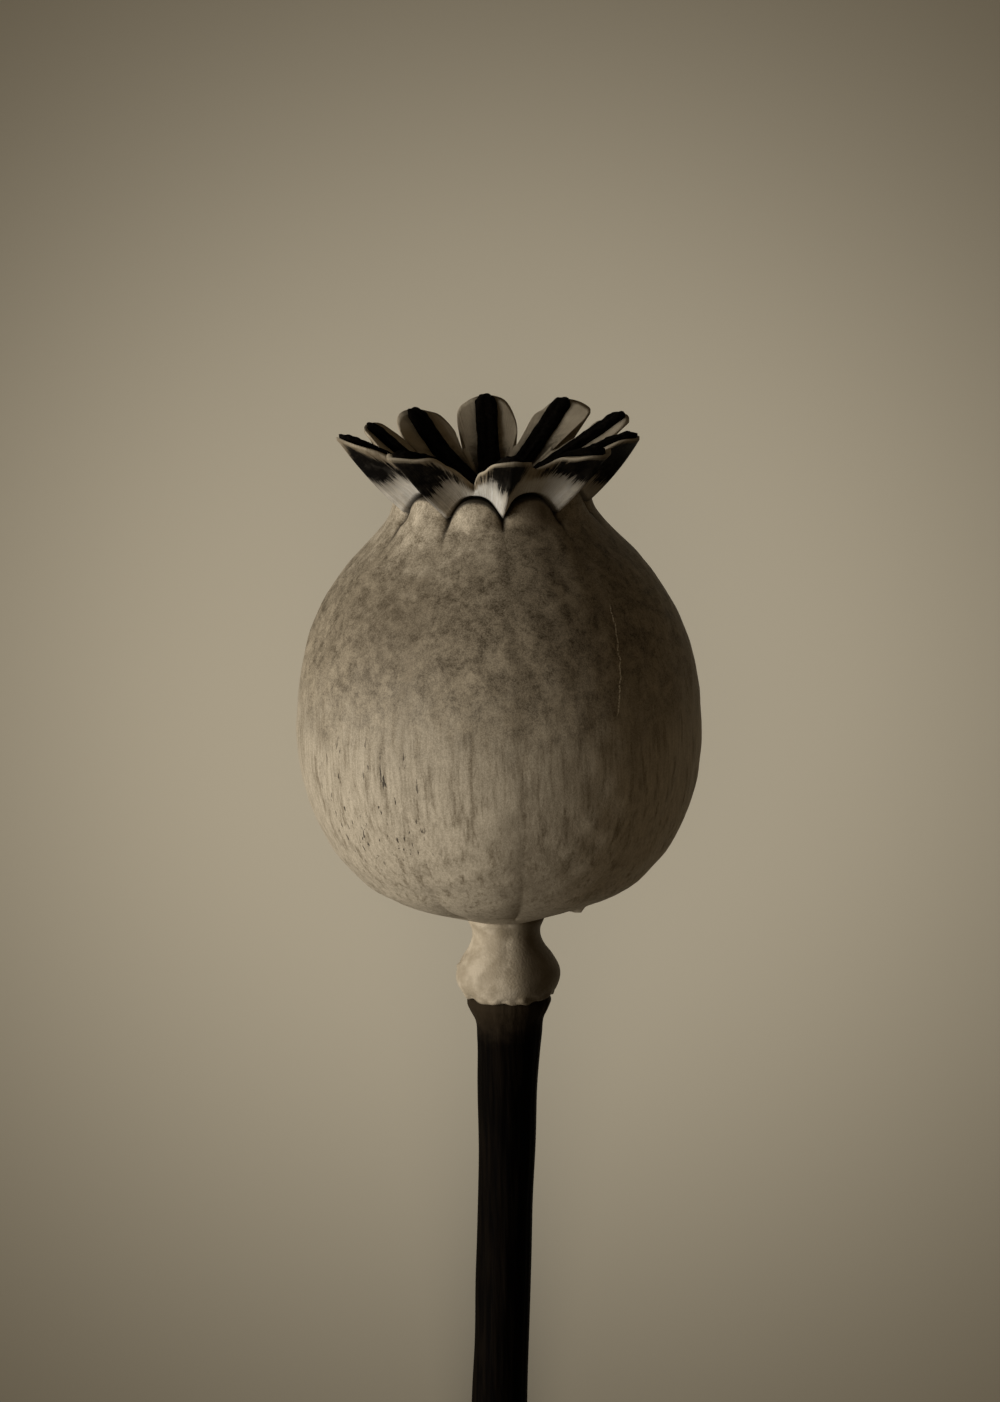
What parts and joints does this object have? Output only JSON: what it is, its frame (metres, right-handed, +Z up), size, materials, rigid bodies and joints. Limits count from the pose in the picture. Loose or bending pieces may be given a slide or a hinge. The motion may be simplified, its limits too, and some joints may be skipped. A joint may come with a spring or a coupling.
{
  "type": "poppy seed head",
  "caption": "Dried poppy seed head lying on its side: a round pod with a lobed, keeled crown and dark rays on top, a swollen ring below it and a length of cut stem.",
  "frame": {"origin": "under the middle of the whole head, on the surface it lies on", "axes": "+Z up from that surface, +Y from the stem's cut end towards the crown, +X across the pod"},
  "size_m": [0.04, 0.1174, 0.0404],
  "materials": {
    "pod_wall": "dry, matt, with a pale waxy bloom that is mottled above and streaked below",
    "crown_membrane": "dry papery membrane, pale on its outer faces and blotched dark",
    "ray_velvet": "dark and velvety",
    "ring_skin": "dry, matt and smooth, with small scars",
    "stem_skin": "dry, dark, faintly shiny skin with fine lengthwise lines"
  },
  "bodies": {
    "root": {"capsule": "pod_wall", "crown": "crown_membrane", "stigma_rays": "ray_velvet", "receptacle": "ring_skin", "stem": "stem_skin"}
  },
  "joints": []
}
